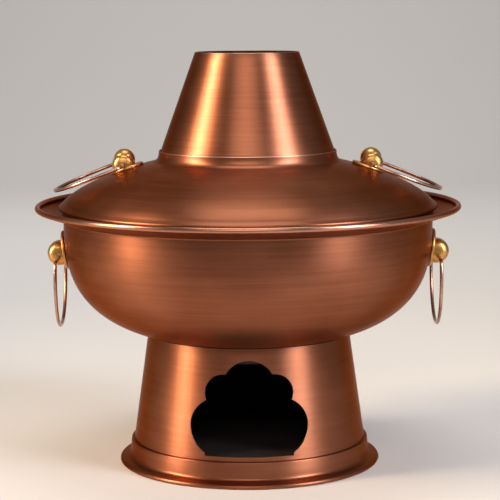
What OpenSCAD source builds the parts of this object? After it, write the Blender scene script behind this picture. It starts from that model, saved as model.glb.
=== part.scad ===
// Chimney hot pot: a spun copper pot with a charcoal chimney up its middle.
// Millimetres. Origin at the middle of the foot's underside, +Z up.
// The stoke hole faces -Y, and the handle rings stand at +X and -X.

/* [Sheet metal] */
// Thickness of the spun copper sheet
sheet = 1.0; // [0.8:0.1:1.5]
// Gap left between pieces that are soldered or seated on each other
seam = 0.05; // [0.02:0.01:0.15]

/* [Foot] */
// Diameter of the foot over its rolled edge
foot_d = 210; // [196:1:224]
// Height of the top of the foot band
foot_h = 18.9; // [15:0.5:24]
// Radius of the foot's rolled edge
foot_roll_r = 1.9; // [1.7:0.1:2.4]
// How deep the rolled edge is worn flat underneath
foot_worn = 0.2; // [0.1:0.05:0.4]
// How far the foot's rolled edge stands out from the band above it
foot_flare = 8.5; // [6:0.5:12]
// How far the band stands out from the bottom of the skirt
foot_step = 3.2; // [1.5:0.1:5]
// Width of the ledge inside the foot, under the skirt
foot_ledge = 7; // [4:0.5:12]

/* [Stand] */
// How much the skirt's radius shrinks for each millimetre of height
skirt_slope = 0.1415; // [0.08:0.005:0.2]
// Gap between the skirt's top edge and the bowl above it
skirt_gap = 0.3; // [0.1:0.1:0.6]
// Thickness of the plate that catches the ash
ash_plate_t = 1.2; // [1:0.1:2]
// Side gap between the ash plate and the skirt
ash_plate_gap = 0.3; // [0.1:0.1:0.6]
// Height of the collar that carries the bowl inside the skirt
collar_h = 10; // [6:1:16]

/* [Stoke hole] */
// Height of the hole's sill above the table
hole_sill = 22.3; // [21.5:0.5:26]
// Half the width of the hole at its sill
hole_sill_w = 34.5; // [28:0.5:36]
// Height of the hole's straight corners at the sill
hole_sill_h = 8; // [4:0.5:10]
// Radius of the two lower lobes
lobe_low_r = 22.8; // [18:0.2:24]
// Sideways position of the lower lobes
lobe_low_x = 22.8; // [18:0.2:24]
// Height of the lower lobes
lobe_low_z = 44.3; // [42:0.2:46]
// Radius of the two middle lobes
lobe_mid_r = 15; // [12:0.5:17]
// Sideways position of the middle lobes
lobe_mid_x = 19.2; // [15:0.2:22]
// Height of the middle lobes
lobe_mid_z = 70; // [66:0.5:72]
// Radius of the top lobe
lobe_top_r = 20.6; // [16:0.2:22]
// Height of the top lobe
lobe_top_z = 74.9; // [70:0.5:77]

/* [Bowl] */
// Radius of the bowl's outside where its wall stands upright
bowl_r = 147.5; // [140:0.5:160]
// Height of the place where the wall stands upright
bowl_top_z = 196; // [188:1:205]
// Depth of the curve from there to its lowest point
bowl_curve_h = 98; // [94:1:104]
// How square the bowl's curve is, 2 being a plain oval
bowl_square = 2.8; // [2.4:0.1:3.4]
// Radius where the round curve ends and the cone of the floor starts
floor_r = 80; // [79:0.5:84]
// How much lower the floor is at the fire tube than at its outer end
floor_dip = 1.1; // [0.5:0.1:2]
// Width of the brim from the wall to the outside of its rolled rim
brim_w = 22.5; // [20:0.5:30]
// Radius of the rolled rim
rim_roll_r = 2.15; // [1.9:0.05:2.6]
// Angle at which the brim rises outwards
brim_angle = 18.3; // [14:0.1:22]
// Width of the rounded corner between the wall and the brim
brim_corner_w = 2.2; // [1.8:0.1:3]
// Height of that corner
brim_corner_h = 2.43; // [2:0.05:3]

/* [Fire tube and chimney] */
// Radius of the fire tube's outside at its foot
tube_foot_r = 75.2; // [72:0.2:77]
// Height of the fire tube's foot
tube_foot_z = 99.5; // [97:0.5:101]
// Height of the fire tube's shoulder above the upright part of the bowl's wall
tube_rise = 41.5; // [36:0.5:43]
// Thickness of the fire tube
tube_t = 1.5; // [1.2:0.1:2]
// Length of the spigot that holds the chimney
spigot_h = 9; // [6:1:12]
// Radius of the chimney's outside where it passes through the lid
chimney_r = 69.4; // [66:0.2:71]
// How far below the lid's neck the chimney starts to narrow
chimney_bend_drop = 0.2; // [0:0.1:1]
// Radius of the chimney's mouth
mouth_r = 41.5; // [34:0.5:50]
// Height of the whole pot
pot_h = 329; // [310:1:350]

/* [Grate] */
// Height of the ledge that the grate lies on
grate_z = 107; // [105:0.5:112]
// Thickness of the cast grate
grate_t = 4; // [3:0.5:6]
// Side gap between the grate and the fire tube
grate_gap = 0.8; // [0.5:0.1:1.5]
// Width of the ledge
grate_ledge = 7; // [5:0.5:10]
// Thickness of the ledge
grate_ledge_t = 2; // [1.5:0.5:3]
// Width of a slot in the grate
slot_w = 5; // [4:0.5:6]
// Distance from one slot to the next
slot_pitch = 11; // [9:0.5:14]
// Width of the grate's solid edge
grate_edge = 9; // [8:0.5:12]

/* [Lid] */
// How far the dome's edge stands out beyond the bowl's wall
dome_over = 3.3; // [2.6:0.1:4]
// Height of the dome's lowest level above the upright part of the bowl's wall
dome_rise = 9; // [8:0.5:11]
// Height that the curve would reach in the middle
dome_h = 47.9; // [42:0.5:54]
// How square the dome's curve is, 2 being a plain oval
dome_square = 1.6; // [1.4:0.05:1.9]
// Radius of the rolled bead at the dome's edge
bead_r = 1.6; // [1.5:0.05:2]
// Height of the bead's middle above the dome's lowest level
bead_rise = 2; // [1.8:0.1:2.4]
// How far the bead stands out from the dome
bead_out = 0.5; // [0.3:0.1:1]
// How far the neck spreads towards its foot on the dome
neck_spread = 4.4; // [3.6:0.2:8]
// Height of the neck
neck_h = 8.7; // [7:0.1:12]
// Gap between the lid's neck and the chimney
neck_gap = 0.6; // [0.4:0.1:1.5]
// Gap between the lid's collar and the brim that it rests on
lid_gap = 0.3; // [0.3:0.05:0.6]
// Side gap between the lid's collar and the bowl's mouth
mouth_gap = 0.8; // [0.4:0.1:1.5]
// How far the collar reaches down into the bowl's mouth
collar_drop = 8; // [5:1:12]

/* [Handle lugs] */
// Radius of the round plates on the bowl
bowl_plate_r = 15.5; // [14.5:0.5:18]
// Radius of the round plates on the lid
lid_plate_r = 13.5; // [13:0.5:15]
// Thickness of a plate
plate_t = 2; // [1.6:0.1:2.4]
// Radius of the rounded edge of a plate's face
plate_edge_r = 1.2; // [0.6:0.1:1.4]
// Radius of the bowl lugs' half barrel
bowl_lug_r = 10; // [9:0.5:11]
// Radius of the lid lugs' half barrel
lid_lug_r = 9.2; // [8.6:0.2:10]
// Half the length of a barrel
lug_half = 11.2; // [10:0.2:12]
// How square a barrel's ends are, 2 being a plain oval
lug_square = 3; // [2.4:0.2:4]
// Height of the bowl barrel's axis above the plate
bowl_lug_rise = 3; // [2:0.2:4]
// Height of the lid barrel's axis above the plate
lid_lug_rise = 1.9; // [1:0.1:2.5]
// How far down the slope a barrel stands from the middle of its plate
lug_slide = 1.8; // [0.5:0.1:2.5]
// Radius of the ball that caps a lug on the lid
ball_r = 8.5; // [7.5:0.1:9.5]
// Height of the ball's middle above the plate
ball_rise = 5.6; // [4:0.1:7]
// Height of the bowl ring's hole above the plate
bowl_hole_rise = 3.6; // [2.6:0.1:4.2]
// Height of the lid ring's hole above the plate
lid_hole_rise = 2.6; // [2.4:0.1:3.4]
// How far down the slope the bowl ring's hole is from the middle of its plate
bowl_hole_slide = 4.8; // [3:0.1:5.4]
// How far down the slope the lid ring's hole is from the middle of its plate
lid_hole_slide = 1.5; // [0:0.1:3]
// Radius of the shank that is riveted through the sheet
shank_r = 3; // [2.5:0.25:4]
// Radius of the shank's riveted head
head_r = 4.2; // [3.8:0.2:5]
// Thickness of the riveted head
head_t = 1.4; // [1:0.1:2]
// Radius of the washer under the head
washer_r = 6.5; // [6:0.5:8]
// Thickness of the washer
washer_t = 1; // [0.8:0.1:1.5]
// Gap around the shank in the sheet, plate and washer
shank_gap = 0.15; // [0.1:0.05:0.3]
// Depth of the bowl lugs below the upright part of the bowl's wall
bowl_lug_drop = 24.5; // [22:0.5:32]
// Distance of the lid lugs from the dome's edge
lid_lug_in = 54.6; // [50:0.2:57]

/* [Handle rings] */
// Diameter of the ring's wire
wire_d = 2.8; // [2.4:0.1:3.2]
// Play of the wire in its hole, all round
wire_play = 0.06; // [0.04:0.01:0.09]
// Half the length of the ring's straight run
run_half = 34.5; // [30:0.5:36]
// Radius of the ring's two corners
corner_r = 5; // [4:0.5:8]
// Length of a bowl ring from its hole to its end
bowl_ring_len = 55.6; // [54:0.2:60]
// Length of a lid ring from its hole to its end
lid_ring_len = 59; // [54:0.2:60]
// Angle of a lying lid ring below the level
lid_ring_angle = 20.8; // [17:0.2:24]

/* [Hidden] */
$fn = 120;
copper = [0.72, 0.42, 0.30];
dark_copper = [0.55, 0.33, 0.24];
brass = [0.80, 0.62, 0.32];
iron = [0.20, 0.20, 0.21];

// Steps along the curves of the bowl, the dome and the rolled edges
bowl_steps = 22;
dome_steps = 20;
roll_steps = 14;
bend_steps = 6;

// Half the length of the cutters that drill and trim the lugs and their plates
drill_reach = 20;

// Curves
function flip(p) = [for (i = [len(p) - 1:-1:0]) p[i]];
function unit(v) = v / norm(v);
function left_of(v) = [-v[1], v[0]];
// Direction square to a line of points at point i, to the left of travel
function square_to(p, i) =
    i == 0 ? left_of(unit(p[1] - p[0])) :
    i == len(p) - 1 ? left_of(unit(p[i] - p[i - 1])) :
    left_of(unit(unit(p[i] - p[i - 1]) + unit(p[i + 1] - p[i])));
// The same line moved to its left by t
function shifted(p, t) = [for (i = [0:len(p) - 1]) p[i] + t * square_to(p, i)];
// Closed outline of the sheet between the line and the line moved to its left
function strip(p, t) = concat(p, flip(shifted(p, t)));
function arc(c, r, a0, a1, n) =
    [for (i = [0:n]) let (a = a0 + (a1 - a0) * i / n) c + r * [cos(a), sin(a)]];
function curve(a, b, c, d, n) =
    [for (i = [0:n]) let (t = i / n, u = 1 - t)
        u * u * u * a + 3 * u * u * t * b + 3 * u * t * t * c + t * t * t * d];

// Foot: the rolled edge, the hollow corner above it, the band and the ledge
foot_r = foot_d / 2;
foot_roll_c = [foot_r - foot_roll_r, foot_roll_r - foot_worn];
band_r = foot_r - foot_flare;
band_round = 1;
foot_bend_z = 7.5;
foot_roll = arc(foot_roll_c, foot_roll_r, 180, 450, roll_steps);
foot_hollow = curve(
    [foot_roll_c[0] - 0.8, foot_roll_c[1] + foot_roll_r + 0.35],
    [foot_roll_c[0] - 4.1, foot_roll_c[1] + foot_roll_r + 1],
    [band_r, foot_bend_z - 3.2],
    [band_r, foot_bend_z], bend_steps);
foot_shoulder = arc([band_r - 0.8 - band_round, foot_h - band_round], band_round, 4, 90, 5);
skirt_foot_r = band_r - foot_step;
foot_line = concat(foot_roll, foot_hollow, foot_shoulder,
    [[skirt_foot_r - foot_ledge, foot_h]]);

// Skirt: a plain cone from the foot up to the bowl
function skirt_r_at(z) = skirt_foot_r - skirt_slope * (z - foot_h);
skirt_foot_z = foot_h + seam + sheet * skirt_slope;

// Bowl: the line of its outside, from the fire tube out to the rolled rim
function bowl_r_at(z) = bowl_r
    * pow(1 - pow((bowl_top_z - z) / bowl_curve_h, bowl_square), 1 / bowl_square);
function bowl_z_at(r) = bowl_top_z
    - bowl_curve_h * pow(1 - pow(r / bowl_r, bowl_square), 1 / bowl_square);
function tube_r_at(z) = tube_foot_r
    - (tube_foot_r - tube_top_r) * (z - tube_foot_z) / (tube_top_z - tube_foot_z);
tube_shoulder = 0.6;
tube_top_r = chimney_r + tube_shoulder;
tube_top_z = bowl_top_z + tube_rise;
floor_z = bowl_z_at(floor_r);
floor_in_z = floor_z - floor_dip;
floor_lean = floor_dip / (floor_r - tube_foot_r);
floor_in_r = tube_r_at(floor_in_z) + seam + sheet * floor_lean;
function floor_z_at(r) = floor_in_z + floor_dip * (r - floor_in_r) / (floor_r - floor_in_r);
skirt_top_z = floor_z - skirt_gap;
// Points are set by angle, so that they lie closer where the curve is tight
function bowl_curve_at(a) = [
    bowl_r * pow(cos(a), 2 / bowl_square),
    bowl_top_z - bowl_curve_h * pow(sin(a), 2 / bowl_square)];
floor_a = asin(pow((bowl_top_z - floor_z) / bowl_curve_h, bowl_square / 2));
bowl_side = [for (i = [0:bowl_steps]) bowl_curve_at(floor_a * (1 - i / bowl_steps))];
brim_in = [bowl_r + brim_corner_w, bowl_top_z + brim_corner_h];
brim_out_r = bowl_r + brim_w - rim_roll_r * (1 - sin(brim_angle));
brim_out = [brim_out_r, brim_in[1] + (brim_out_r - brim_in[0]) * tan(brim_angle)];
rim_c = brim_out + rim_roll_r * [-sin(brim_angle), cos(brim_angle)];
brim_bend = curve([bowl_r, bowl_top_z + 0.4], [bowl_r, bowl_top_z + 1.6],
    brim_in - 1.2 * [cos(brim_angle), sin(brim_angle)], brim_in, 4);
rim_roll = arc(rim_c, rim_roll_r, brim_angle - 90, 205, roll_steps);
bowl_line = concat([[floor_in_r, floor_in_z]], bowl_side, brim_bend, rim_roll);
function brim_top_at(r) = brim_in[1] + (r - brim_in[0]) * tan(brim_angle)
    + sheet / cos(brim_angle);

// Lid: the line of its outside, from the bead up to the neck's top
neck_r = chimney_r + neck_gap + sheet;
neck_foot_r = neck_r + neck_spread;
dome_r = bowl_r + dome_over;
dome_z = bowl_top_z + dome_rise;
bead_z = dome_z + bead_rise;
bead_c = [dome_r + bead_out - bead_r, bead_z];
function dome_z_at(r) = dome_z
    + dome_h * pow(1 - pow(r / dome_r, dome_square), 1 / dome_square);
dome_out_r = dome_r - 2.6;
dome_side = [for (i = [0:dome_steps])
    let (t = i / dome_steps, r = dome_out_r + (neck_foot_r - dome_out_r) * pow(t, 1.25))
        [r, dome_z_at(r)]];
neck_foot_z = dome_z_at(neck_foot_r);
neck_top_z = neck_foot_z + neck_h;
neck_side = curve([neck_foot_r - 0.5, neck_foot_z + 0.25],
    [neck_r + 0.9, neck_foot_z + 1.6],
    [neck_r, neck_foot_z + 4.2], [neck_r, neck_top_z], bend_steps);
lid_line = concat(arc(bead_c, bead_r, 170, 415, roll_steps), dome_side, neck_side);

// Fire tube and chimney
spigot_r = chimney_r - sheet - seam;
shoulder_h = 0.8;
tube_line = [
    [tube_foot_r, tube_foot_z],
    [tube_top_r, tube_top_z],
    [spigot_r, tube_top_z + shoulder_h],
    [spigot_r, tube_top_z + spigot_h]];
chimney_foot_z = tube_top_z + shoulder_h + seam;
chimney_bend_z = neck_top_z - chimney_bend_drop;
chimney_line = concat(
    [[chimney_r, chimney_foot_z]],
    curve([chimney_r, chimney_bend_z - 2.5], [chimney_r, chimney_bend_z - 0.8],
        [chimney_r - 0.3, chimney_bend_z + 0.9],
        [chimney_r - 0.9, chimney_bend_z + 2.5], 4),
    [[mouth_r, pot_h]]);

// Lid collar: it stands inside the bead, rests on the brim and drops into the mouth
collar_out_r = bead_c[0] - bead_r - seam;
collar_in_r = bowl_r - sheet - mouth_gap;
collar_rest_z = brim_top_at(collar_out_r) + lid_gap;
collar_foot_z = collar_rest_z - collar_drop;
collar_top_z = bead_z + 1.2;
collar_line = concat(
    [[collar_in_r, collar_foot_z]],
    arc([collar_in_r + 0.5, collar_rest_z - 0.5], 0.5, 180, 90, 3),
    arc([collar_out_r - 0.7, collar_rest_z + 0.7], 0.7, -90, 0, 4),
    [[collar_out_r, collar_top_z]]);

// Lugs and rings: each lug stands square to the sheet under the middle of its plate
lug_level = seam + plate_t + seam;
bowl_lug_z = bowl_top_z - bowl_lug_drop;
bowl_lug_x = bowl_r_at(bowl_lug_z);
bowl_lug_tilt = atan2(bowl_r_at(bowl_lug_z + 1) - bowl_r_at(bowl_lug_z - 1), 2);
lid_lug_x = dome_r - lid_lug_in;
lid_lug_z = dome_z_at(lid_lug_x);
lid_lug_tilt = atan2(dome_z_at(lid_lug_x - 1) - dome_z_at(lid_lug_x + 1), 2);
bowl_pivot_rise = lug_level + bowl_hole_rise;
lid_pivot_rise = lug_level + lid_hole_rise;
bowl_pivot = [
    bowl_lug_x + bowl_pivot_rise * cos(bowl_lug_tilt) - bowl_hole_slide * sin(bowl_lug_tilt), 0,
    bowl_lug_z - bowl_pivot_rise * sin(bowl_lug_tilt) - bowl_hole_slide * cos(bowl_lug_tilt)];
lid_pivot = [
    lid_lug_x + lid_pivot_rise * sin(lid_lug_tilt) + lid_hole_slide * cos(lid_lug_tilt), 0,
    lid_lug_z + lid_pivot_rise * cos(lid_lug_tilt) - lid_hole_slide * sin(lid_lug_tilt)];
wire_r = wire_d / 2;

// Stretches of the bowl's and the lid's outside that the lugs' washers follow
bowl_seat = [for (i = [8:bowl_steps]) bowl_side[i]];
lid_seat = [for (i = [4:dome_steps]) dome_side[i]];

module spun(p) {
    rotate_extrude() polygon(p);
}

module wire_hoop(c, r) {
    rotate_extrude() translate(c) circle(r, $fn = 40);
}

module at_bowl_lug() {
    translate([bowl_lug_x, 0, bowl_lug_z]) rotate([0, 90 + bowl_lug_tilt, 0]) children();
}

module at_lid_lug() {
    translate([lid_lug_x, 0, lid_lug_z]) rotate([0, lid_lug_tilt, 0]) children();
}

// The hole that a shank needs in whatever it passes through
module drill() {
    cylinder(r = shank_r + shank_gap, h = 2 * drill_reach, center = true);
}

// Everything inside a seat line that is moved outwards by t, down to the axis
module within_bowl(t) {
    p = shifted(bowl_seat, -t);
    spun(concat([[0, p[0][1]]], p, [[0, p[len(p) - 1][1]]]));
}

module within_lid(t) {
    p = shifted(lid_seat, -t);
    spun(concat([[0, p[0][1]]], p, [[0, p[len(p) - 1][1]]]));
}

// A round piece of curved sheet between two distances from the seat line
module bowl_disc(r, t0, t1) {
    difference() {
        intersection() {
            spun(concat(shifted(bowl_seat, -t1), flip(shifted(bowl_seat, -t0))));
            at_bowl_lug() cylinder(r = r, h = 2 * drill_reach, center = true);
        }
        at_bowl_lug() drill();
    }
}

module lid_disc(r, t0, t1) {
    difference() {
        intersection() {
            spun(concat(shifted(lid_seat, -t1), flip(shifted(lid_seat, -t0))));
            at_lid_lug() cylinder(r = r, h = 2 * drill_reach, center = true);
        }
        at_lid_lug() drill();
    }
}

// Flat plate with a rounded edge to its face, its back at the origin
module plate(r) {
    difference() {
        spun(concat([[0, 0], [r, 0]],
            arc([r - plate_edge_r, plate_t - plate_edge_r], plate_edge_r, 0, 90, 8),
            [[0, plate_t]]));
        drill();
    }
}

// Barrel that lies along Y, cut flat where it stands on its plate
lug_steps = 9;
module barrel(r, rise) {
    difference() {
        translate([lug_slide, 0, rise]) rotate([90, 0, 0]) spun([for (i = [-lug_steps:lug_steps])
            let (a = 90 * i / lug_steps, s = i < 0 ? -1 : 1)
                [r * pow(max(0, cos(a)), 2 / lug_square),
                 s * lug_half * pow(abs(sin(a)), 2 / lug_square)]]);
        translate([0, 0, -drill_reach]) cylinder(r = drill_reach, h = drill_reach);
    }
}

module ring_hole(slide, rise) {
    translate([slide, 0, rise]) rotate([90, 0, 0])
        cylinder(r = wire_r + wire_play, h = 4 * lug_half, center = true);
}

inside_washer = sheet + seam + washer_t + seam;
shank_low = inside_washer + 0.3;

// Handle ring in the YZ plane: its straight run on Y, hanging down -Z.
// A bead at each change of curve joins the runs of wire into one piece.
joint_swell = 0.05;
joint_short = 0.06;
module ring_arc(r, turn) {
    short = joint_short / r * 57.3;
    rotate([0, 0, short]) rotate_extrude(angle = turn - 2 * short)
        translate([r, 0]) circle(wire_r, $fn = 40);
}

module ring(length) {
    k = length - corner_r;
    end_r = (run_half * run_half + k * k - corner_r * corner_r) / (2 * (k - corner_r));
    end_z = length - end_r;
    half = atan2(run_half, corner_r - end_z);
    rotate([90, 0, 0]) cylinder(r = wire_r, h = 2 * (run_half - joint_short),
        center = true, $fn = 40);
    for (s = [-1, 1]) {
        translate([0, s * run_half, 0]) sphere(wire_r + joint_swell, $fn = 40);
        translate([0, s * (run_half + corner_r * sin(half)), -corner_r * (1 + cos(half))])
            sphere(wire_r + joint_swell, $fn = 40);
    }
    rotate([90, 0, 90]) {
        for (side = [0, 1]) mirror([side, 0, 0])
            translate([run_half, -corner_r, 0]) rotate([0, 0, half - 90])
                ring_arc(corner_r, 180 - half);
        translate([0, -end_z, 0]) rotate([0, 0, -90 - half]) ring_arc(end_r, 2 * half);
    }
}

module stoke_hole_outline() {
    translate([0, lobe_top_z]) circle(lobe_top_r);
    for (s = [-1, 1]) {
        translate([s * lobe_mid_x, lobe_mid_z]) circle(lobe_mid_r);
        intersection() {
            translate([s * lobe_low_x, lobe_low_z]) circle(lobe_low_r);
            translate([-foot_r, hole_sill]) square([foot_d, lobe_low_z]);
        }
    }
    translate([-lobe_mid_x, lobe_low_z]) square([2 * lobe_mid_x, lobe_mid_z - lobe_low_z]);
    translate([-hole_sill_w, hole_sill]) square([2 * hole_sill_w, hole_sill_h]);
    translate([-lobe_low_x, hole_sill]) square([2 * lobe_low_x, lobe_low_z - hole_sill]);
}

// Foot and stand
module foot_ring() {
    color(copper) intersection() {
        spun(strip(foot_line, sheet));
        cylinder(r = foot_r + 5, h = foot_h + 5);
    }
}

module foot_wire() {
    color(iron) wire_hoop(foot_roll_c, foot_roll_r - sheet - 2 * seam);
}

module ash_plate() {
    color(dark_copper) translate([0, 0, foot_h + seam])
        cylinder(r = skirt_r_at(foot_h + ash_plate_t) - sheet - ash_plate_gap, h = ash_plate_t);
}

module stand_skirt() {
    color(copper) difference() {
        spun(strip([[skirt_r_at(skirt_foot_z), skirt_foot_z],
            [skirt_r_at(skirt_top_z), skirt_top_z]], sheet));
        rotate([90, 0, 0]) linear_extrude(foot_r) stoke_hole_outline();
    }
}

module bowl_collar() {
    leg_top_z = skirt_top_z - 1.5;
    color(copper) spun(strip([
        [skirt_r_at(leg_top_z - collar_h) - sheet - seam, leg_top_z - collar_h],
        [skirt_r_at(leg_top_z) - sheet - seam, leg_top_z],
        [skirt_r_at(skirt_top_z) - sheet - 1.2, floor_z_at(skirt_r_at(skirt_top_z) - 2.2) - seam],
        [floor_in_r + 0.4, floor_z_at(floor_in_r + 0.4) - seam]], sheet));
}

// Bowl
module bowl_shell() {
    color(copper) difference() {
        spun(strip(bowl_line, sheet));
        for (side = [0, 1]) mirror([side, 0, 0])
            at_bowl_lug() drill();
    }
}

module rim_wire() {
    color(iron) wire_hoop(rim_c, rim_roll_r - sheet - 2 * seam);
}

// Fire tube, grate and chimney
module fire_tube() {
    color(dark_copper) spun(strip(tube_line, tube_t));
}

module grate_ring() {
    r = tube_r_at(grate_z) - tube_t - seam;
    color(dark_copper) translate([0, 0, grate_z - grate_ledge_t]) difference() {
        cylinder(r = r, h = grate_ledge_t);
        translate([0, 0, -1]) cylinder(r = r - grate_ledge, h = grate_ledge_t + 2);
    }
}

module grate() {
    r = tube_r_at(grate_z + grate_t) - tube_t - grate_gap;
    reach = r - grate_edge;
    rows = floor((reach - slot_w / 2) / slot_pitch);
    color(iron) difference() {
        translate([0, 0, grate_z]) cylinder(r = r, h = grate_t);
        for (i = [-rows:rows]) {
            x = abs(i) * slot_pitch + slot_w / 2;
            half = sqrt(reach * reach - x * x);
            translate([i * slot_pitch - slot_w / 2, -half, grate_z - 1])
                cube([slot_w, 2 * half, grate_t + 2]);
        }
    }
}

module chimney_cone() {
    color(copper) spun(strip(chimney_line, sheet));
}

// Lid
module lid_shell() {
    color(copper) difference() {
        spun(strip(lid_line, sheet));
        for (side = [0, 1]) mirror([side, 0, 0])
            at_lid_lug() drill();
    }
}

module lid_wire() {
    color(iron) wire_hoop(bead_c, bead_r - sheet - 2 * seam);
}

module lid_collar() {
    color(copper) spun(strip(collar_line, sheet));
}

// Lugs of the bowl, built at +X
module bowl_plate() {
    color(brass) at_bowl_lug() translate([0, 0, seam]) plate(bowl_plate_r);
}

module bowl_washer() {
    color(brass) bowl_disc(washer_r, -sheet - seam - washer_t, -sheet - seam);
}

module bowl_lug() {
    color(brass) difference() {
        union() {
            at_bowl_lug() {
                translate([0, 0, lug_level]) barrel(bowl_lug_r, bowl_lug_rise);
                translate([0, 0, -shank_low]) cylinder(r = shank_r, h = shank_low + lug_level + 1);
            }
            intersection() {
                at_bowl_lug() translate([0, 0, -inside_washer - head_t])
                    cylinder(r = head_r, h = head_t + 1);
                within_bowl(-inside_washer);
            }
        }
        at_bowl_lug() ring_hole(bowl_hole_slide, bowl_pivot_rise);
    }
}

module bowl_ring() {
    color(dark_copper) translate(bowl_pivot) ring(bowl_ring_len);
}

// Lugs of the lid, built at +X
module lid_plate() {
    color(brass) at_lid_lug() translate([0, 0, seam]) plate(lid_plate_r);
}

module lid_washer() {
    color(brass) lid_disc(washer_r, -sheet - seam - washer_t, -sheet - seam);
}

module lid_lug() {
    color(brass) difference() {
        union() {
            at_lid_lug() {
                translate([0, 0, lug_level]) barrel(lid_lug_r, lid_lug_rise);
                difference() {
                    translate([0, 0, lug_level + ball_rise]) sphere(ball_r);
                    translate([0, 0, lug_level - drill_reach])
                        cylinder(r = drill_reach, h = drill_reach);
                }
                translate([0, 0, -shank_low]) cylinder(r = shank_r, h = shank_low + lug_level + 1);
            }
            intersection() {
                at_lid_lug() translate([0, 0, -inside_washer - head_t])
                    cylinder(r = head_r, h = head_t + 1);
                within_lid(-inside_washer);
            }
        }
        at_lid_lug() ring_hole(lid_hole_slide, lid_pivot_rise);
    }
}

module lid_ring() {
    color(dark_copper) translate(lid_pivot) rotate([0, lid_ring_angle - 90, 0])
        ring(lid_ring_len);
}

module other_side() {
    mirror([1, 0, 0]) children();
}

foot_ring();
foot_wire();
ash_plate();
stand_skirt();
bowl_collar();
bowl_shell();
rim_wire();
fire_tube();
grate_ring();
grate();
chimney_cone();
lid_shell();
lid_wire();
lid_collar();
bowl_plate();  // bowl_plate_right
bowl_washer();  // bowl_washer_right
bowl_lug();  // bowl_lug_right
bowl_ring();  // bowl_ring_right
other_side() bowl_plate();  // bowl_plate_left
other_side() bowl_washer();  // bowl_washer_left
other_side() bowl_lug();  // bowl_lug_left
other_side() bowl_ring();  // bowl_ring_left
lid_plate();  // lid_plate_right
lid_washer();  // lid_washer_right
lid_lug();  // lid_lug_right
lid_ring();  // lid_ring_right
other_side() lid_plate();  // lid_plate_left
other_side() lid_washer();  // lid_washer_left
other_side() lid_lug();  // lid_lug_left
other_side() lid_ring();  // lid_ring_left
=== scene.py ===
import bmesh
import bpy
import math
import numpy as np
from mathutils import Matrix, Vector


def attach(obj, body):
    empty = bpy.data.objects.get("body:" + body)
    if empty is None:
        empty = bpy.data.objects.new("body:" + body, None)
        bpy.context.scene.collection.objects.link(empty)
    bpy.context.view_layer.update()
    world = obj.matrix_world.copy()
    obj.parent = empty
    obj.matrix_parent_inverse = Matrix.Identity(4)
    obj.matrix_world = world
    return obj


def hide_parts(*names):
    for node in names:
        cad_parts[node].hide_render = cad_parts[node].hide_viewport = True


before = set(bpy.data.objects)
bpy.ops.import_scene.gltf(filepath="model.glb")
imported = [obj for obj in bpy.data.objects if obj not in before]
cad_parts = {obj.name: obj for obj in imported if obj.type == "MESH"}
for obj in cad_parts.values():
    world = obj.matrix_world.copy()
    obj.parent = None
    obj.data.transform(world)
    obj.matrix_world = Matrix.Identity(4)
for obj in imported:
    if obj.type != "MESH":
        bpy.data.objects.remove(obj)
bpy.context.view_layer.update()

# ---------------------------------------------------------------- The camera
# It looks down a little on the pot's front, where the stoke hole is, from
# about one and a half metres away, and leans by a third of a degree.
camera = bpy.data.objects.new("camera", bpy.data.cameras.new("camera"))
bpy.context.scene.collection.objects.link(camera)
camera.data.lens = 129.6
camera.data.sensor_width = 36.0
camera.location = (0.0014, -1.4357, 0.3655)
camera.rotation_mode = "QUATERNION"
look_down = 0.1353
lean = -0.0063
camera.rotation_quaternion = (
    Matrix.Rotation(math.pi / 2 - look_down, 3, "X")
    @ Matrix.Rotation(lean, 3, "Z")).to_quaternion()
bpy.context.scene.camera = camera

# ---------------------------------------------------------------- Foot ring
# A hoop of copper sheet under the stand: an upright band, a tight corner, and
# an edge rolled over an iron wire, worn flat where it stands.
MM = 0.001
SHEET = 1.0 * MM
SEAM = 0.05 * MM


def smooth_steps(line):
    """Unit directions square to a line of points and to the left of travel: the
    two steps that meet at a point are averaged as unit vectors, then turned."""
    step = np.diff(line, axis=0)
    step /= np.linalg.norm(step, axis=1)[:, None]
    both = np.vstack([step[:1], step[:-1] + step[1:], step[-1:]])
    both /= np.linalg.norm(both, axis=1)[:, None]
    return np.stack([-both[:, 1], both[:, 0]], axis=1)


CAP_POINTS = 5


def sheet_section(line, thick):
    """Closed section of a sheet: the line of its outside, a half circle round
    its end, the line moved to its left by the thickness, and a half circle
    round its start. The number is the row halfway round the end."""
    line = np.asarray(line, float)
    left = smooth_steps(line)
    inner = line + thick * left

    def cap(point, square, forward):
        turn = np.linspace(0, math.pi, CAP_POINTS + 2)[1:-1, None]
        middle = point + square * thick / 2
        return (middle - square * thick / 2 * np.cos(turn)
                + forward * thick / 2 * np.sin(turn))

    end = cap(line[-1], left[-1], np.array([left[-1][1], -left[-1][0]]))
    start = cap(line[0], left[0], -np.array([left[0][1], -left[0][0]]))[::-1]
    return np.vstack([line, end, inner[::-1], start]), len(line) + CAP_POINTS // 2


def arc(centre, radius, first, last, steps):
    """Points at equal turns on a circle, from the first angle to the last."""
    turn = np.radians(np.linspace(first, last, steps + 1))
    return np.asarray(centre) + radius * np.stack([np.cos(turn), np.sin(turn)], 1)


def bend(a, b, c, d, steps):
    """Cubic curve from a to d that leaves towards b and arrives from c."""
    t = np.linspace(0, 1, steps + 1)[:, None]
    a, b, c, d = (np.asarray(p, float) for p in (a, b, c, d))
    u = 1 - t
    return u ** 3 * a + 3 * u * u * t * b + 3 * u * t * t * c + t ** 3 * d


def grid_faces(rows, columns, close_rows, close_columns):
    """Quads of a grid of points, with the last row or column joined to the
    first where it closes."""
    r = np.arange(rows if close_rows else rows - 1)
    c = np.arange(columns if close_columns else columns - 1)
    r, c = np.meshgrid(r, c, indexing="ij")
    up, on = (r + 1) % rows, (c + 1) % columns
    return np.stack([r * columns + c, r * columns + on, up * columns + on,
                     up * columns + c], -1).reshape(-1, 4)


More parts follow.
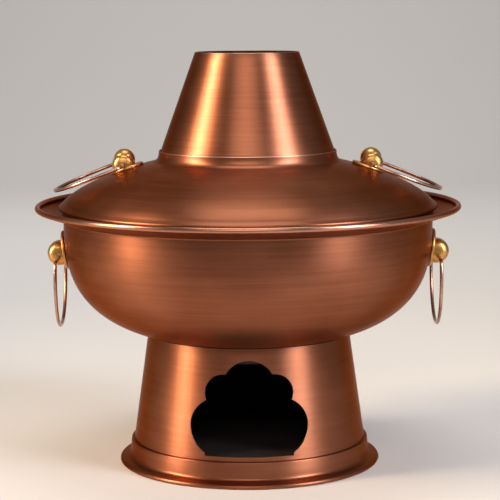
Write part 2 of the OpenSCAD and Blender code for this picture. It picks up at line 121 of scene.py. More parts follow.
def make_piece(name, points, faces, materials, which=None, sharp=35):
    """A mesh object with smooth faces and hard edges where it turns by more
    than the given angle; which says each face's material."""
    mesh = bpy.data.meshes.new(name)
    mesh.from_pydata(np.asarray(points).tolist(), [], np.asarray(faces).tolist())
    for material in materials:
        mesh.materials.append(material)
    if which is not None:
        mesh.polygons.foreach_set("material_index", np.asarray(which, np.int32))
    mesh.shade_smooth()
    mesh.set_sharp_from_angle(angle=math.radians(sharp))
    mesh.update()
    piece = bpy.data.objects.new(name, mesh)
    bpy.context.scene.collection.objects.link(piece)
    return piece


def spun_piece(name, section, materials, second=(0, 0), third=(0, 0), around=192):
    """A closed section of radius and height carried once round the pot's
    middle: x is radius times cosine, y is radius times sine. The rows from the
    first to the last of second and third get the second and third material."""
    turn = np.linspace(0, 2 * math.pi, around, endpoint=False)
    r, z = section[:, 0][:, None], section[:, 1][:, None]
    points = np.stack([r * np.cos(turn), r * np.sin(turn),
                       np.broadcast_to(z, (len(section), around))], -1)
    faces = grid_faces(len(section), around, True, True)
    area = np.sum(section[:, 0] * (np.roll(section[:, 1], -1) - np.roll(section[:, 1], 1)))
    if area <= 0:
        faces = faces[:, ::-1]
    row = np.repeat(np.arange(len(section)), around)
    which = np.where((row >= third[0]) & (row < third[1]), 2,
                     np.where((row >= second[0]) & (row < second[1]), 1, 0))
    return make_piece(name, points.reshape(-1, 3), faces, materials, which)


GRAIN = 2600.0


def spun_metal(name, colour, dark, rough, coat=0.0):
    """Metal turned on a lathe: fine lines run round the pot, so the pattern
    changes fast with radius and height and slowly with the way round. Broad
    clouds mix in the darker tone that handling and age leave."""
    material = bpy.data.materials.new(name)
    material.use_nodes = True
    tree = material.node_tree
    node, link = tree.nodes.new, tree.links.new
    shader = tree.nodes["Principled BSDF"]
    shader.inputs["Metallic"].default_value = 1.0
    shader.inputs["Specular Tint"].default_value = (0.62, 0.36, 0.28, 1)
    shader.inputs["Anisotropic"].default_value = 0.6
    shader.inputs["Anisotropic Rotation"].default_value = 0.25
    shader.inputs["Coat Weight"].default_value = coat
    shader.inputs["Coat Roughness"].default_value = 0.22
    place = node("ShaderNodeTexCoord")
    parts = node("ShaderNodeSeparateXYZ")
    link(place.outputs["Object"], parts.inputs[0])
    flat = node("ShaderNodeCombineXYZ")
    link(parts.outputs["X"], flat.inputs["X"])
    link(parts.outputs["Y"], flat.inputs["Y"])
    radius = node("ShaderNodeVectorMath")
    radius.operation = "LENGTH"
    link(flat.outputs[0], radius.inputs[0])
    way = node("ShaderNodeVectorMath")
    way.operation = "NORMALIZE"
    link(flat.outputs[0], way.inputs[0])
    way_parts = node("ShaderNodeSeparateXYZ")
    link(way.outputs[0], way_parts.inputs[0])

    def scaled(source, factor):
        times = node("ShaderNodeMath")
        times.operation = "MULTIPLY"
        times.inputs[1].default_value = factor
        link(source, times.inputs[0])
        return times.outputs[0]

    def lathe_lines(fine, turns, detail):
        spot = node("ShaderNodeCombineXYZ")
        link(scaled(way_parts.outputs["X"], turns), spot.inputs["X"])
        link(scaled(way_parts.outputs["Y"], turns), spot.inputs["Y"])
        link(scaled(radius.outputs["Value"], fine), spot.inputs["Z"])
        noise = node("ShaderNodeTexNoise")
        noise.noise_dimensions = "4D"
        noise.inputs["Scale"].default_value = 1.0
        noise.inputs["Detail"].default_value = detail
        link(spot.outputs[0], noise.inputs["Vector"])
        link(scaled(parts.outputs["Z"], fine), noise.inputs["W"])
        return noise.outputs["Fac"]

    fine_lines = lathe_lines(GRAIN, 2.2, 3.0)
    bands = lathe_lines(GRAIN * 0.12, 1.1, 2.0)
    clouds = node("ShaderNodeTexNoise")
    clouds.inputs["Scale"].default_value = 14.0
    clouds.inputs["Detail"].default_value = 4.0
    link(place.outputs["Object"], clouds.inputs["Vector"])

    def spread(source, low, high, out_low, out_high):
        span = node("ShaderNodeMapRange")
        span.inputs["From Min"].default_value = low
        span.inputs["From Max"].default_value = high
        span.inputs["To Min"].default_value = out_low
        span.inputs["To Max"].default_value = out_high
        link(source, span.inputs["Value"])
        return span.outputs["Result"]

    def mixed(a, b, share):
        mix = node("ShaderNodeMix")
        mix.inputs["Factor"].default_value = share
        link(a, mix.inputs["A"])
        link(b, mix.inputs["B"])
        return mix.outputs["Result"]

    tone = mixed(spread(clouds.outputs["Fac"], 0.35, 0.7, 0.0, 1.0),
                 spread(mixed(fine_lines, bands, 0.5), 0.35, 0.65, 0.0, 1.0), 0.5)
    paint = node("ShaderNodeMix")
    paint.data_type = "RGBA"
    paint.inputs["A"].default_value = (*dark, 1)
    paint.inputs["B"].default_value = (*colour, 1)
    link(tone, paint.inputs["Factor"])
    link(paint.outputs["Result"], shader.inputs["Base Color"])
    link(spread(mixed(fine_lines, clouds.outputs["Fac"], 0.4), 0.3, 0.7,
                rough - 0.05, rough + 0.06), shader.inputs["Roughness"])
    relief = node("ShaderNodeBump")
    relief.inputs["Strength"].default_value = 0.05
    relief.inputs["Distance"].default_value = 0.0002
    link(fine_lines, relief.inputs["Height"])
    link(relief.outputs[0], shader.inputs["Normal"])
    grainway = node("ShaderNodeTangent")
    grainway.direction_type = "RADIAL"
    grainway.axis = "Z"
    link(grainway.outputs[0], shader.inputs["Tangent"])
    return material


copper = spun_metal("spun_copper", (0.36, 0.135, 0.072), (0.21, 0.066, 0.033),
                    0.36, coat=0.06)
FOOT_R, FOOT_ROLL, FOOT_WEAR = 105 * MM, 1.9 * MM, 0.2 * MM
foot_centre = np.array([FOOT_R - FOOT_ROLL, FOOT_ROLL - FOOT_WEAR])
band_r, foot_top = 96.5 * MM, 18.9 * MM
SKIRT_IN, FLANGE = 3.2 * MM, 7 * MM
skirt_foot_r = band_r - SKIRT_IN
foot_line = np.vstack([
    arc(foot_centre, FOOT_ROLL, 180, 450, 28),
    bend(foot_centre + np.array([-0.8, 2.25]) * MM, foot_centre + np.array([-4.1, 2.9]) * MM,
         (band_r, 4.3 * MM), (band_r, 7.5 * MM), 12),
    arc((band_r - 1.8 * MM, foot_top - 1 * MM), 1 * MM, 4, 90, 6),
    [[skirt_foot_r - FLANGE, foot_top]]])
foot_section = sheet_section(foot_line, SHEET)[0]
foot_section[:, 1] = np.maximum(foot_section[:, 1], 0.0)
foot = spun_piece("foot_ring_sheet", foot_section, [copper], around=256)
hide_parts("foot_ring")
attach(foot, "pot")

# ---------------------------------------------------------------- Stand
# A plain cone of sheet that carries the bowl. The stoke hole in its front is
# sawn out in the shape of a cloud with five lobes and a straight sill. Its cut
# edge is worn and painted brighter as a highlight, and the inside is painted
# near black: soot, and painted shade.


def sooty_metal(name, colour, rough):
    """Soot on metal: dull, with small clouds of paler ash."""
    material = bpy.data.materials.new(name)
    material.use_nodes = True
    tree = material.node_tree
    shader = tree.nodes["Principled BSDF"]
    shader.inputs["Metallic"].default_value = 0.0
    shader.inputs["Specular IOR Level"].default_value = 0.25
    place = tree.nodes.new("ShaderNodeTexCoord")
    clouds = tree.nodes.new("ShaderNodeTexNoise")
    clouds.inputs["Scale"].default_value = 60.0
    clouds.inputs["Detail"].default_value = 6.0
    paint = tree.nodes.new("ShaderNodeMix")
    paint.data_type = "RGBA"
    paint.inputs["A"].default_value = (*[0.45 * c for c in colour], 1)
    paint.inputs["B"].default_value = (*[1.5 * c for c in colour], 1)
    worn = tree.nodes.new("ShaderNodeMapRange")
    worn.inputs["To Min"].default_value = rough - 0.12
    worn.inputs["To Max"].default_value = rough + 0.12
    relief = tree.nodes.new("ShaderNodeBump")
    relief.inputs["Strength"].default_value = 0.35
    relief.inputs["Distance"].default_value = 0.0006
    link = tree.links.new
    link(place.outputs["Object"], clouds.inputs["Vector"])
    link(clouds.outputs["Fac"], paint.inputs["Factor"])
    link(clouds.outputs["Fac"], worn.inputs["Value"])
    link(clouds.outputs["Fac"], relief.inputs["Height"])
    link(paint.outputs["Result"], shader.inputs["Base Color"])
    link(worn.outputs["Result"], shader.inputs["Roughness"])
    link(relief.outputs[0], shader.inputs["Normal"])
    return material


# Near black, darker than soot alone: soot, and painted shade inside the stand, fire tube and
# chimney.
soot_and_painted_shade = sooty_metal("soot_and_painted_shade", (0.011, 0.007, 0.006), 0.75)
# A much brighter copper for thin edges: wear, and a painted highlight along the hole's cut
# edge, the chimney's mouth and the lid neck's top.
edge_wear_and_highlight = spun_metal("copper_edge_wear_and_painted_highlight", (0.80, 0.47, 0.36), (0.62, 0.32, 0.22), 0.34)
SKIRT_SLOPE = 0.1415
skirt_low = foot_top + SEAM + SHEET * SKIRT_SLOPE


def skirt_radius(z):
    """The cone's radius: it shrinks evenly with height."""
    return skirt_foot_r - SKIRT_SLOPE * (z - foot_top)


HOLE_LOBES = ((0, 74.9, 20.6), (-19.2, 70, 15), (19.2, 70, 15),
              (-22.8, 44.3, 22.8), (22.8, 44.3, 22.8))
SILL, SILL_HALF, SILL_CORNER = 22.3 * MM, 34.5 * MM, 8 * MM
FAR = 9.0


def stoke_hole_reach(turn, middle):
    """Distance from the hole's middle to its edge in each direction: the
    farthest way out of any lobe, or the sill or its straight corners."""
    to = np.stack([np.cos(turn), np.sin(turn)], 1)
    reach = np.zeros(len(turn))
    for x, z, r in HOLE_LOBES:
        centre = np.array([x, z]) * MM - middle
        along = to @ centre
        inside = (r * MM) ** 2 - centre @ centre + along ** 2
        reach = np.maximum(reach, np.where(
            inside > 0, along + np.sqrt(np.maximum(inside, 0)), 0))
    down = to[:, 1] < -1e-6
    to_sill = np.where(down, (SILL - middle[1]) / np.where(down, to[:, 1], -1), FAR)
    to_side = SILL_HALF / np.maximum(np.abs(to[:, 0]), 1e-9)
    corner = down & (middle[1] + to_side * to[:, 1] < SILL + SILL_CORNER)
    reach = np.where(corner, np.maximum(reach, to_side), reach)
    return np.minimum(reach, to_sill)


def skirt_with_hole(low, high, thick):
    """Both walls of the cone. In front they are a net of spokes from the
    hole's edge to a frame: each point lies a share of the way along its spoke.
    Round the back they are rows at the heights where the spokes end. The last
    result is 1 for faces of the inner wall and 2 for the hole's cut edge."""
    spokes, rings, around = 480, 16, 150
    middle = np.array([0, 50 * MM])
    share = 0.66
    turn = math.pi / 2 + np.arange(spokes) * 2 * math.pi / spokes
    for x, z in ((1, low), (-1, low), (1, high), (-1, high)):
        at = math.atan2(z - middle[1], x * share * skirt_radius(z))
        off = np.abs((turn - at + math.pi) % (2 * math.pi) - math.pi)
        turn[np.argmin(off)] = at
    to = np.stack([np.cos(turn), np.sin(turn)], 1)
    with np.errstate(divide="ignore"):
        up = np.where(to[:, 1] > 1e-9, (high - middle[1]) / to[:, 1], FAR)
        down = np.where(to[:, 1] < -1e-9, (low - middle[1]) / to[:, 1], FAR)
    side = share * skirt_radius(middle[1]) / (
        np.abs(to[:, 0]) + share * SKIRT_SLOPE * to[:, 1])
    side = np.where(side > 0, side, FAR)
    frame_reach = np.minimum(np.minimum(up, down), side)
    hole = stoke_hole_reach(turn, middle)
    t = np.linspace(0, 1, rings)[:, None] ** 1.3
    flat = middle + (hole + t * (frame_reach - hole))[..., None] * to
    end = flat[-1]
    end[:, 1] = np.where(np.abs(end[:, 1] - low) < 1e-7, low, end[:, 1])
    end[:, 1] = np.where(np.abs(end[:, 1] - high) < 1e-7, high, end[:, 1])
    on_side = end[np.abs(end[:, 0] - share * skirt_radius(end[:, 1])) < 1e-7][:, 1]
    heights = np.unique(np.round(np.concatenate([on_side, [low, high]]), 9))
    back = np.linspace(math.asin(share), 2 * math.pi - math.asin(share), around)
    points, faces = [], []
    loops = {}
    for wall, inset in (("out", 0.0), ("in", thick)):
        x, z = flat[..., 0], flat[..., 1]
        radius = skirt_radius(z) - inset
        x = x * radius / skirt_radius(z)
        front = np.stack([x, -np.sqrt(radius ** 2 - x ** 2), z], -1)
        radius = (skirt_radius(heights) - inset)[:, None]
        rear = np.stack([radius * np.sin(back), -radius * np.cos(back),
                         np.broadcast_to(heights[:, None], (len(heights), around))], -1)
        base = sum(len(p) for p in points)
        points.append(front.reshape(-1, 3))
        net = grid_faces(rings, spokes, False, True) + base
        base = sum(len(p) for p in points)
        points.append(rear.reshape(-1, 3))
        rows = grid_faces(len(heights), around, False, False) + base
        faces += [net, rows[:, ::-1]] if wall == "out" else [net[:, ::-1], rows]
        first = net.min()
        loops[wall] = [first + np.arange(spokes),
                       base + np.arange(around),
                       base + (len(heights) - 1) * around + np.arange(around),
                       first + (rings - 1) * spokes + np.arange(spokes)]

    def joined(a, b, closed):
        on_a, on_b = np.roll(a, -1), np.roll(b, -1)
        strip = np.stack([a, on_a, on_b, b], 1)
        return strip if closed else strip[:-1]

    faces.append(joined(loops["out"][0], loops["in"][0], True)[:, ::-1])
    for k in (1, 2):
        faces.append(joined(loops["out"][k], loops["in"][k], False))
    edge = joined(loops["out"][3], loops["in"][3], True)
    z = end[:, 1]
    level = (np.abs(z - np.roll(z, -1)) < 1e-9) & (
        (np.abs(z - low) < 1e-9) | (np.abs(z - high) < 1e-9))
    faces.append(edge[level])
    counts = [len(f) for f in faces]
    which = np.zeros(sum(counts), int)
    which[counts[0] + counts[1]:sum(counts[:4])] = 1
    which[sum(counts[:4]):sum(counts[:5])] = 2
    return np.vstack(points), np.vstack(faces), which


def close_seams(piece, smooth_angle=35):
    """Joins points that lie together and turns every face outwards."""
    work = bmesh.new()
    work.from_mesh(piece.data)
    bmesh.ops.remove_doubles(work, verts=work.verts, dist=2e-6)
    bmesh.ops.dissolve_degenerate(work, edges=work.edges, dist=1e-7)
    bmesh.ops.recalc_face_normals(work, faces=work.faces)
    work.to_mesh(piece.data)
    work.free()
    piece.data.shade_smooth()
    piece.data.set_sharp_from_angle(angle=math.radians(smooth_angle))


FLOOR_R, BOWL_R, BOWL_Z, BOWL_H, BOWL_SQUARE = 80 * MM, 147.5 * MM, 196 * MM, 98 * MM, 2.8
floor_z = BOWL_Z - BOWL_H * (1 - (FLOOR_R / BOWL_R) ** BOWL_SQUARE) ** (1 / BOWL_SQUARE)
STAND_GAP = 0.3 * MM
skirt_high = floor_z - STAND_GAP
skirt_points, skirt_faces, skirt_finish = skirt_with_hole(skirt_low, skirt_high, SHEET)
# Inner wall: near-black soot colour, also painted shade. Hole's cut edge: bright edge copper,
# wear and a painted highlight.
skirt = make_piece("stand_cone", skirt_points, skirt_faces, [copper, soot_and_painted_shade, edge_wear_and_highlight],
                   skirt_finish)
close_seams(skirt)
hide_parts("stand_skirt")
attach(skirt, "pot")

# ---------------------------------------------------------------- Inside the foot
# The iron wire in the foot's rolled edge, the plate that catches the ash, and
# the collar inside the stand's top that the bowl is soldered to.


def finish_node(node, material):
    """Gives a CAD piece this material all over."""
    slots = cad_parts[node].material_slots
    if not slots:
        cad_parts[node].data.materials.append(material)
    for each in slots:
        each.material = material


iron_wire = sooty_metal("iron_wire", (0.10, 0.095, 0.09), 0.5)
finish_node("foot_wire", iron_wire)
# Painted near black: soot, and the shade inside the stand.
finish_node("ash_plate", soot_and_painted_shade)
finish_node("bowl_collar", soot_and_painted_shade)

# ---------------------------------------------------------------- Bowl
# Spun from one sheet: a flat floor round the fire tube, a round wall, a wide
# brim that rises outwards, and a rim rolled over an iron wire, smoothed and
# painted brighter along the roll as a highlight.
curve_end = math.asin(((BOWL_Z - floor_z) / BOWL_H) ** (BOWL_SQUARE / 2))
turn = np.linspace(curve_end, 0, 61)
bowl_side = np.stack([BOWL_R * np.cos(turn) ** (2 / BOWL_SQUARE),
                      BOWL_Z - BOWL_H * np.sin(turn) ** (2 / BOWL_SQUARE)], 1)
BRIM_ANGLE = 18.3
BRIM = math.radians(BRIM_ANGLE)
BRIM_WIDTH, BRIM_CORNER_WIDTH, BRIM_CORNER_HEIGHT = 22.5 * MM, 2.2 * MM, 2.43 * MM
RIM_ROLL, RIM_STEPS = 2.15 * MM, 30
brim_in = np.array([BOWL_R + BRIM_CORNER_WIDTH, BOWL_Z + BRIM_CORNER_HEIGHT])
brim_out_r = BOWL_R + BRIM_WIDTH - RIM_ROLL * (1 - math.sin(BRIM))
brim_out = np.array([brim_out_r, brim_in[1] + (brim_out_r - brim_in[0]) * math.tan(BRIM)])
rim_middle = brim_out + RIM_ROLL * np.array([-math.sin(BRIM), math.cos(BRIM)])
TUBE_SHEET = 1.5 * MM
TUBE_FOOT, TUBE_TOP = np.array([75.2, 99.5]) * MM, np.array([70.0, 237.5]) * MM


def tube_radius(z):
    """The fire tube's radius: it narrows evenly from its foot to its shoulder."""
    return TUBE_FOOT[0] + (TUBE_TOP[0] - TUBE_FOOT[0]) * (z - TUBE_FOOT[1]) / (
        TUBE_TOP[1] - TUBE_FOOT[1])


FLOOR_DIP = 1.1 * MM
floor_in_z = floor_z - FLOOR_DIP
floor_lean = FLOOR_DIP / (FLOOR_R - TUBE_FOOT[0])
floor_in = np.array([tube_radius(floor_in_z) + SEAM + SHEET * floor_lean, floor_in_z])
bowl_line = np.vstack([
    floor_in, bowl_side,
    bend((BOWL_R, BOWL_Z + 0.4 * MM), (BOWL_R, BOWL_Z + 1.6 * MM),
         brim_in - 1.2 * MM * np.array([math.cos(BRIM), math.sin(BRIM)]), brim_in, 10),
    brim_in + np.linspace(0, 1, 8)[1:-1, None] * (brim_out - brim_in),
    arc(rim_middle, RIM_ROLL, BRIM_ANGLE - 90, 205, RIM_STEPS)])
bowl_section, bowl_end = sheet_section(bowl_line, SHEET)
# Brighter copper on the rim roll: a painted highlight along it; also smoother.
rim_highlight_copper = spun_metal("rim_painted_highlight_copper", (0.58, 0.29, 0.20), (0.42, 0.18, 0.11), 0.26)
bowl = spun_piece("bowl_spun", bowl_section, [copper, rim_highlight_copper],
                  (len(bowl_line) - RIM_STEPS - 1, bowl_end + 3), around=288)
finish_node("rim_wire", iron_wire)
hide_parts("bowl_shell")
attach(bowl, "pot")

# ---------------------------------------------------------------- Fire tube and grate
# The charcoal burns in this tube, on a cast grate that lies on a narrow ledge.
# Its outside is in the broth, so it stays copper; its inside and the grate are
# near black: soot, and painted shade.
CHIMNEY_R = 69.4 * MM
SPIGOT_R = CHIMNEY_R - SHEET - SEAM
SHOULDER, SPIGOT_TOP = 0.8 * MM, 9 * MM
tube_line = np.vstack([
    TUBE_FOOT + np.linspace(0, 1, 12)[:, None] * (TUBE_TOP - TUBE_FOOT),
    [[SPIGOT_R, TUBE_TOP[1] + SHOULDER], [SPIGOT_R, TUBE_TOP[1] + SPIGOT_TOP]]])
tube_section, tube_end = sheet_section(tube_line, TUBE_SHEET)
tube = spun_piece("fire_tube_rolled", tube_section, [copper, soot_and_painted_shade],
                  (tube_end, len(tube_section)))
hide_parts("fire_tube")
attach(tube, "pot")
finish_node("grate_ring", soot_and_painted_shade)
finish_node("grate", soot_and_painted_shade)

# ---------------------------------------------------------------- Chimney
# A cone rolled from sheet that sleeves over the fire tube's spigot inside the
# lid's neck, and narrows from there up to its mouth. The mouth's edge is worn
# and painted brighter as a highlight; the inside is near black, soot and
# painted shade.
NECK_TOP, BEND_BELOW_NECK = 251.05 * MM, 0.2 * MM
bend_z = NECK_TOP - BEND_BELOW_NECK
MOUTH_R, POT_H = 41.5 * MM, 329 * MM
chimney_bend = bend((CHIMNEY_R, bend_z - 2.5 * MM), (CHIMNEY_R, bend_z - 0.8 * MM),
                    (CHIMNEY_R - 0.3 * MM, bend_z + 0.9 * MM),
                    (CHIMNEY_R - 0.9 * MM, bend_z + 2.5 * MM), 8)
chimney_line = np.vstack([
    [[CHIMNEY_R, TUBE_TOP[1] + SHOULDER + SEAM]], chimney_bend,
    chimney_bend[-1] + np.linspace(0, 1, 14)[1:, None]
    * (np.array([MOUTH_R, POT_H - 0.5 * SHEET]) - chimney_bend[-1])])
chimney_section, chimney_end = sheet_section(chimney_line, SHEET)
chimney = spun_piece("chimney_cone_rolled", chimney_section, [copper, soot_and_painted_shade, edge_wear_and_highlight],
                     (chimney_end, len(chimney_section)),
                     (len(chimney_line) - 1, chimney_end + 1))
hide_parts("chimney_cone")
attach(chimney, "pot")

# ---------------------------------------------------------------- Lid
# A spun dome with a neck that lets the chimney through. The neck's top edge is
# worn and painted brighter as a highlight.
# Its edge is rolled over an iron wire, and a collar soldered inside it rests on
# the brim and drops into the bowl's mouth.
DOME_R, DOME_Z, DOME_H, DOME_SQUARE = BOWL_R + 3.3 * MM, BOWL_Z + 9 * MM, 47.9 * MM, 1.6
BEAD, BEAD_OUT, BEAD_RISE, BEAD_WIDTH = 1.6 * MM, 0.5 * MM, 2 * MM, 2.6 * MM
bead_middle = np.array([DOME_R + BEAD_OUT - BEAD, DOME_Z + BEAD_RISE])
NECK_R, NECK_FOOT_R = 71.0 * MM, 75.4 * MM


def dome_height(r):
    """The dome's height at a radius: an oval with a power below two."""
    return DOME_Z + DOME_H * (1 - (r / DOME_R) ** DOME_SQUARE) ** (1 / DOME_SQUARE)


dome_start = DOME_R - BEAD_WIDTH
dome_r = dome_start + (NECK_FOOT_R - dome_start) * np.linspace(0, 1, 50) ** 1.25
neck_foot_z = dome_height(NECK_FOOT_R)
lid_line = np.vstack([
    arc(bead_middle, BEAD, 170, 415, 28),
    np.stack([dome_r, dome_height(dome_r)], 1),
    bend((NECK_FOOT_R - 0.5 * MM, neck_foot_z + 0.25 * MM),
         (NECK_R + 0.9 * MM, neck_foot_z + 1.6 * MM),
         (NECK_R, neck_foot_z + 4.2 * MM), (NECK_R, NECK_TOP - 0.5 * SHEET), 14)])
lid_section, lid_end = sheet_section(lid_line, SHEET)
lid = spun_piece("lid_spun", lid_section, [copper, edge_wear_and_highlight],
                 (len(lid_line) - 1, lid_end + 3), around=288)
finish_node("lid_wire", iron_wire)
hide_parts("lid_shell")
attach(lid, "lid")

COLLAR_GAP, COLLAR_DEPTH, COLLAR_RISE, REST_GAP = 0.8 * MM, 8 * MM, 1.2 * MM, 0.3 * MM
IN_CORNER, OUT_CORNER = 0.5 * MM, 0.7 * MM
collar_out = bead_middle[0] - BEAD - SEAM
collar_in = BOWL_R - SHEET - COLLAR_GAP
rest_z = (brim_in[1] + (collar_out - brim_in[0]) * math.tan(BRIM)
          + SHEET / math.cos(BRIM) + REST_GAP)
collar_line = np.vstack([
    [[collar_in, rest_z - COLLAR_DEPTH]],
    arc((collar_in + IN_CORNER, rest_z - IN_CORNER), IN_CORNER, 180, 90, 6),
    arc((collar_out - OUT_CORNER, rest_z + OUT_CORNER), OUT_CORNER, -90, 0, 6),
    [[collar_out, bead_middle[1] + COLLAR_RISE]]])
collar = spun_piece("lid_collar_spun", sheet_section(collar_line, SHEET)[0], [copper],
                    around=256)
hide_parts("lid_collar")
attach(collar, "lid")

# ---------------------------------------------------------------- Lugs
# Each ring swings in a cast brass lug: a barrel with the ring's hole and a
# ball behind it, riveted through a round brass plate and the sheet.


def cast_brass(name, colour, dark, rough):
    """Brass that is cast, turned and handled: brown in the small hollows of
    its skin, brighter and smoother between them."""
    material = bpy.data.materials.new(name)
    material.use_nodes = True
    tree = material.node_tree
    link = tree.links.new
    shader = tree.nodes["Principled BSDF"]
    shader.inputs["Metallic"].default_value = 1.0
    place = tree.nodes.new("ShaderNodeTexCoord")
    skin = tree.nodes.new("ShaderNodeTexNoise")
    skin.inputs["Scale"].default_value = 120.0
    skin.inputs["Detail"].default_value = 3.0
    paint = tree.nodes.new("ShaderNodeMix")
    paint.data_type = "RGBA"
    paint.inputs["A"].default_value = (*dark, 1)
    paint.inputs["B"].default_value = (*colour, 1)
    tone = tree.nodes.new("ShaderNodeMapRange")
    tone.inputs["From Min"].default_value = 0.3
    tone.inputs["From Max"].default_value = 0.7
    worn = tree.nodes.new("ShaderNodeMapRange")
    worn.inputs["To Min"].default_value = rough + 0.05
    worn.inputs["To Max"].default_value = rough - 0.05
    relief = tree.nodes.new("ShaderNodeBump")
    relief.inputs["Strength"].default_value = 0.05
    relief.inputs["Distance"].default_value = 0.0002
    link(place.outputs["Object"], skin.inputs["Vector"])
    link(skin.outputs["Fac"], tone.inputs["Value"])
    link(tone.outputs["Result"], paint.inputs["Factor"])
    link(skin.outputs["Fac"], worn.inputs["Value"])
    link(skin.outputs["Fac"], relief.inputs["Height"])
    link(paint.outputs["Result"], shader.inputs["Base Color"])
    link(worn.outputs["Result"], shader.inputs["Roughness"])
    link(relief.outputs[0], shader.inputs["Normal"])
    return material


brass = cast_brass("cast_brass", (0.76, 0.41, 0.14), (0.54, 0.26, 0.08), 0.32)
bronze = cast_brass("drawn_bronze", (0.62, 0.38, 0.28), (0.40, 0.22, 0.15), 0.26)
for place in ("bowl", "lid"):
    for side in ("right", "left"):
        for part in ("plate", "washer", "lug"):
            finish_node(f"{place}_{part}_{side}", brass)

# ---------------------------------------------------------------- Handle rings
# Drawn bronze wire bent to a D: its straight run goes through the lug's hole.
# The bowl's rings hang down, the lid's lie outwards.
WIRE, WIRE_SIDES = 1.4 * MM, 20
RUN, CORNER = 34.5 * MM, 5 * MM
PLATE = 2 * MM


def ring_wire(name, pivot, length, tilt, side):
    """Round wire carried along a closed flat line: a straight run, two corner
    arcs and an end arc that meet without a kink. Each point of the section is
    the line's point plus the wire's radius in the plane and across it."""
    k = length - CORNER
    end_r = (RUN ** 2 + k * k - CORNER ** 2) / (2 * (k - CORNER))
    end_z = length - end_r
    half = math.degrees(math.atan2(RUN, CORNER - end_z))
    line = np.vstack([
        np.stack([np.linspace(-RUN, RUN, 24), np.zeros(24)], 1)[:-1],
        arc((RUN, -CORNER), CORNER, 90, half - 90, 16)[:-1],
        arc((0, -end_z), end_r, half - 90, -90 - half, 96)[:-1],
        arc((-RUN, -CORNER), CORNER, 270 - half, 90, 16)[:-1]])
    step = np.roll(line, -1, 0) - np.roll(line, 1, 0)
    step /= np.linalg.norm(step, axis=1)[:, None]
    square = np.stack([-step[:, 1], step[:, 0]], 1)
    around = np.linspace(0, 2 * math.pi, WIRE_SIDES, endpoint=False)
    y = line[:, :1] + WIRE * np.cos(around) * square[:, :1]
    z = line[:, 1:] + WIRE * np.cos(around) * square[:, 1:]
    x = np.broadcast_to(WIRE * np.sin(around), y.shape)
    c, s = math.cos(tilt), math.sin(tilt)
    points = np.stack([side * (pivot[0] + x * c - z * s), y, pivot[1] + z * c + x * s], -1)
    faces = grid_faces(len(line), WIRE_SIDES, True, True)
    piece = make_piece(name + "_wire", points.reshape(-1, 3), faces, [bronze])
    close_seams(piece, 60)
    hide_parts(name)
    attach(piece, name + "_body")


def hole_place(surface, tilt, rise, slide):
    """Where a lug's hole is: up from the sheet, square to it, by the plate and
    the rise, and down the slope by the slide."""
    up = (SEAM + PLATE + SEAM + rise) * np.array([math.cos(tilt), math.sin(tilt)])
    return surface + up + slide * np.array([math.sin(tilt), -math.cos(tilt)])


def bowl_radius(z):
    """The bowl's outside radius: an oval with a power above two."""
    return BOWL_R * (1 - ((BOWL_Z - z) / BOWL_H) ** BOWL_SQUARE) ** (1 / BOWL_SQUARE)


BOWL_LUG_DROP, BOWL_HOLE_RISE, BOWL_HOLE_SLIDE = 24.5 * MM, 3.6 * MM, 4.8 * MM
LID_LUG_IN, LID_HOLE_RISE, LID_HOLE_SLIDE = 54.6 * MM, 2.6 * MM, 1.5 * MM
BOWL_RING_LENGTH, LID_RING_LENGTH, LID_RING_BELOW_LEVEL = 55.6 * MM, 59 * MM, 20.8
bowl_lug_z = BOWL_Z - BOWL_LUG_DROP
bowl_slope = math.atan((bowl_radius(bowl_lug_z + MM) - bowl_radius(bowl_lug_z - MM)) / (2 * MM))
bowl_hole = hole_place(np.array([bowl_radius(bowl_lug_z), bowl_lug_z]),
                       -bowl_slope, BOWL_HOLE_RISE, BOWL_HOLE_SLIDE)
lid_lug_r = DOME_R - LID_LUG_IN
lid_slope = math.atan((dome_height(lid_lug_r - MM) - dome_height(lid_lug_r + MM)) / (2 * MM))
lid_hole = hole_place(np.array([lid_lug_r, dome_height(lid_lug_r)]),
                      math.pi / 2 - lid_slope, LID_HOLE_RISE, LID_HOLE_SLIDE)
lid_ring_tilt = math.radians(90 - LID_RING_BELOW_LEVEL)
for side, sign in (("right", 1), ("left", -1)):
    ring_wire("bowl_ring_" + side, bowl_hole, BOWL_RING_LENGTH, 0.0, sign)
    ring_wire("lid_ring_" + side, lid_hole, LID_RING_LENGTH, lid_ring_tilt, sign)

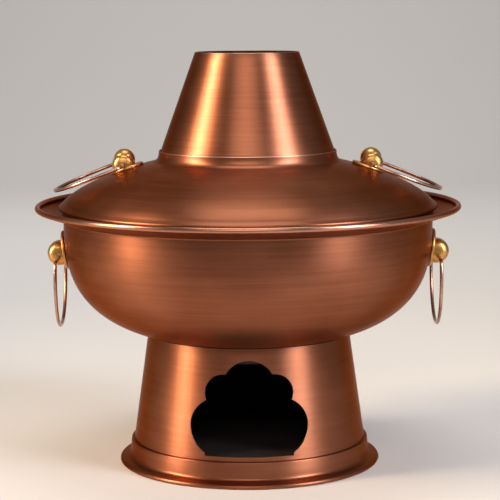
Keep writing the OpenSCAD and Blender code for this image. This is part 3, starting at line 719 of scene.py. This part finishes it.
# ---------------------------------------------------------------- Studio
# A pale floor that curves up into a backdrop behind the pot, a tall soft lamp
# on each side, broad ones in front, overhead and at the backdrop, and a dim
# room.
FLOOR_HALF, WALL_Y, WALL_BEND, WALL_TOP = 6.0, 3.2, 1.0, 2.4
sweep = np.vstack([
    np.stack([np.linspace(-FLOOR_HALF, WALL_Y - WALL_BEND, 30), np.zeros(30)], 1)[:-1],
    arc((WALL_Y - WALL_BEND, WALL_BEND), WALL_BEND, -90, 0, 24), [[WALL_Y, WALL_TOP]]])
across = np.linspace(-FLOOR_HALF, FLOOR_HALF, 25)
sweep_shape = (len(sweep), len(across))
sweep_points = np.stack([np.broadcast_to(across, sweep_shape),
                         np.broadcast_to(sweep[:, :1], sweep_shape),
                         np.broadcast_to(sweep[:, 1:], sweep_shape)], -1).reshape(-1, 3)
floor_paint = bpy.data.materials.new("pale_floor")
floor_paint.use_nodes = True
floor_shader = floor_paint.node_tree.nodes["Principled BSDF"]
floor_shader.inputs["Base Color"].default_value = (0.74, 0.72, 0.70, 1)
floor_shader.inputs["Roughness"].default_value = 0.65
floor_shader.inputs["Specular IOR Level"].default_value = 0.2
floor = make_piece("floor", sweep_points, grid_faces(*sweep_shape, False, False),
                   [floor_paint])


def soft_lamp(name, place, aim, size, power, colour, spread):
    """A rectangular lamp that faces the aim; the spread is its beam's angle."""
    lamp = bpy.data.lights.new(name, "AREA")
    lamp.shape = "RECTANGLE"
    lamp.size, lamp.size_y = size
    lamp.energy = power
    lamp.color = colour
    lamp.spread = math.radians(spread)
    holder = bpy.data.objects.new(name, lamp)
    bpy.context.scene.collection.objects.link(holder)
    holder.location = place
    holder.rotation_mode = "QUATERNION"
    holder.rotation_quaternion = (Vector(aim) - Vector(place)).to_track_quat("-Z", "Y")


POT_MIDDLE = (0, 0, 0.28)
soft_lamp("left_lamp", (-1.38, -0.42, 0.90), POT_MIDDLE, (0.42, 1.6), 6.6,
          (1.0, 0.78, 0.56), 60)
soft_lamp("right_lamp", (1.22, -0.84, 0.92), POT_MIDDLE, (0.56, 1.5), 4.4,
          (0.92, 0.93, 1.0), 60)
soft_lamp("front_lamp", (-0.1, -2.0, 1.5), (0, 0, 0.30), (1.8, 0.8), 2.4,
          (1.0, 0.88, 0.76), 60)
soft_lamp("top_lamp", (0.0, 0.1, 1.9), (0, 0.15, 0), (1.0, 0.7), 4,
          (1.0, 0.97, 0.93), 120)
soft_lamp("backdrop_lamp", (0.0, 1.0, 1.7), (0, 2.5, 0.2), (1.6, 0.5), 17,
          (1.0, 0.97, 0.94), 150)

world = bpy.data.worlds.new("studio")
bpy.context.scene.world = world
world.use_nodes = True
sky = world.node_tree.nodes["Background"]
sky.inputs["Color"].default_value = (0.97, 0.96, 0.95, 1)
sky.inputs["Strength"].default_value = 0.22
bpy.context.scene.view_settings.view_transform = "Standard"
